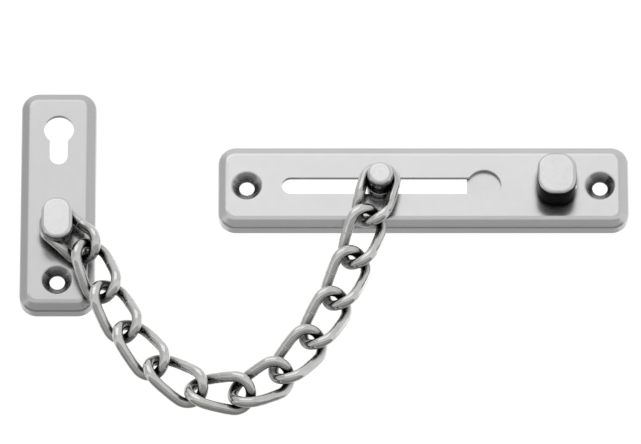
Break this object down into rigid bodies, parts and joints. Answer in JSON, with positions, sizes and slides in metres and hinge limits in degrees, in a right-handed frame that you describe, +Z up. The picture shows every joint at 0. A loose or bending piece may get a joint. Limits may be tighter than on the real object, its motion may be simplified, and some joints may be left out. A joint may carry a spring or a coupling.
{
  "type": "door chain guard",
  "caption": "Surface-mounted door chain guard: slotted track plate with a sliding latch knob, anchor plate with a parking keyhole, and a curb chain between them.",
  "frame": {"origin": "middle of the anchor plate, on the wall plane", "axes": "+X along the track, +Z up the door, -Y out from the wall towards the room"},
  "size_m": [0.1777, 0.0153, 0.1031],
  "materials": {
    "plate": "satin chrome plating",
    "turned": "polished chrome plating",
    "knob": "satin chrome plating",
    "chain": "bright nickel plating",
    "inner_steel": "zinc plated steel"
  },
  "bodies": {
    "plates": {"anchor_plate": "plate", "anchor_post": "turned", "anchor_collar": "turned", "track_plate": "plate"},
    "stud": {"slide_stud": "turned", "stud_cap": "turned"},
    "latch": {"latch_knob": "knob", "latch_blocker": "inner_steel", "latch_rivet": "inner_steel", "latch_spring_washer": "inner_steel"},
    "link_01": {"chain_link_01": "chain"},
    "link_02": {"chain_link_02": "chain"},
    "link_03": {"chain_link_03": "chain"},
    "link_04": {"chain_link_04": "chain"},
    "link_05": {"chain_link_05": "chain"},
    "link_06": {"chain_link_06": "chain"},
    "link_07": {"chain_link_07": "chain"},
    "link_08": {"chain_link_08": "chain"},
    "link_09": {"chain_link_09": "chain"},
    "link_10": {"chain_link_10": "chain"},
    "link_11": {"chain_link_11": "chain"},
    "link_12": {"chain_link_12": "chain"}
  },
  "joints": [
    {"name": "stud_slide", "type": "slide", "parent": "plates", "child": "stud", "axis": [1, 0, 0], "range_m": [-0.0258, 0.0212]},
    {"name": "latch_slide", "type": "slide", "parent": "plates", "child": "latch", "axis": [1, 0, 0], "range_m": [0, 0.0076]},
    {"name": "link_01_turn", "type": "hinge", "parent": "plates", "child": "link_01", "pos_m": [0, -0.01, -0.0094], "axis": [0, -1, 0], "range_deg": [-6.7, 5.6]},
    {"name": "link_02_turn", "type": "hinge", "parent": "link_01", "child": "link_02", "pos_m": [0.00899, -0.01, -0.0175], "axis": [0, -1, 0], "range_deg": [-10.4, 8.6]},
    {"name": "link_03_turn", "type": "hinge", "parent": "link_02", "child": "link_03", "pos_m": [0.01409, -0.01, -0.03054], "axis": [0, -1, 0], "range_deg": [-3.4, 4.1]},
    {"name": "link_04_turn", "type": "hinge", "parent": "link_03", "child": "link_04", "pos_m": [0.02052, -0.01, -0.04297], "axis": [0, -1, 0], "range_deg": [-3.4, 4.1]},
    {"name": "link_05_turn", "type": "hinge", "parent": "link_04", "child": "link_05", "pos_m": [0.02903, -0.01, -0.05409], "axis": [0, -1, 0], "range_deg": [-3.4, 4.1]},
    {"name": "link_06_turn", "type": "hinge", "parent": "link_05", "child": "link_06", "pos_m": [0.04061, -0.01, -0.06195], "axis": [0, -1, 0], "range_deg": [-3.4, 4.1]},
    {"name": "link_12_turn", "type": "hinge", "parent": "stud", "child": "link_12", "pos_m": [0.094, -0.01, 0.00455], "axis": [0, -1, 0], "range_deg": [-18.2, 22.1]},
    {"name": "link_11_turn", "type": "hinge", "parent": "link_12", "child": "link_11", "pos_m": [0.09085, -0.01, -0.00713], "axis": [0, -1, 0], "range_deg": [-4.1, 3.4]},
    {"name": "link_10_turn", "type": "hinge", "parent": "link_11", "child": "link_10", "pos_m": [0.08652, -0.01, -0.02045], "axis": [0, -1, 0], "range_deg": [-4.1, 3.4]},
    {"name": "link_09_turn", "type": "hinge", "parent": "link_10", "child": "link_09", "pos_m": [0.08123, -0.01, -0.03341], "axis": [0, -1, 0], "range_deg": [-4.1, 3.4]},
    {"name": "link_08_turn", "type": "hinge", "parent": "link_09", "child": "link_08", "pos_m": [0.07451, -0.01, -0.04569], "axis": [0, -1, 0], "range_deg": [-4.1, 3.4]},
    {"name": "link_07_turn", "type": "hinge", "parent": "link_08", "child": "link_07", "pos_m": [0.06554, -0.01, -0.05644], "axis": [0, -1, 0], "range_deg": [-4.1, 3.4]}
  ],
  "couplings": [
    {"joint": "link_01_turn", "follows": "stud_slide", "rad_per_m": 4.405},
    {"joint": "link_02_turn", "follows": "stud_slide", "rad_per_m": 6.9279},
    {"joint": "link_03_turn", "follows": "stud_slide", "rad_per_m": -2.6167},
    {"joint": "link_04_turn", "follows": "stud_slide", "rad_per_m": -2.6167},
    {"joint": "link_05_turn", "follows": "stud_slide", "rad_per_m": -2.6167},
    {"joint": "link_06_turn", "follows": "stud_slide", "rad_per_m": -2.6167},
    {"joint": "link_12_turn", "follows": "stud_slide", "rad_per_m": -14.835},
    {"joint": "link_11_turn", "follows": "stud_slide", "rad_per_m": 2.6167},
    {"joint": "link_10_turn", "follows": "stud_slide", "rad_per_m": 2.6167},
    {"joint": "link_09_turn", "follows": "stud_slide", "rad_per_m": 2.6167},
    {"joint": "link_08_turn", "follows": "stud_slide", "rad_per_m": 2.6167},
    {"joint": "link_07_turn", "follows": "stud_slide", "rad_per_m": 2.6167}
  ]
}
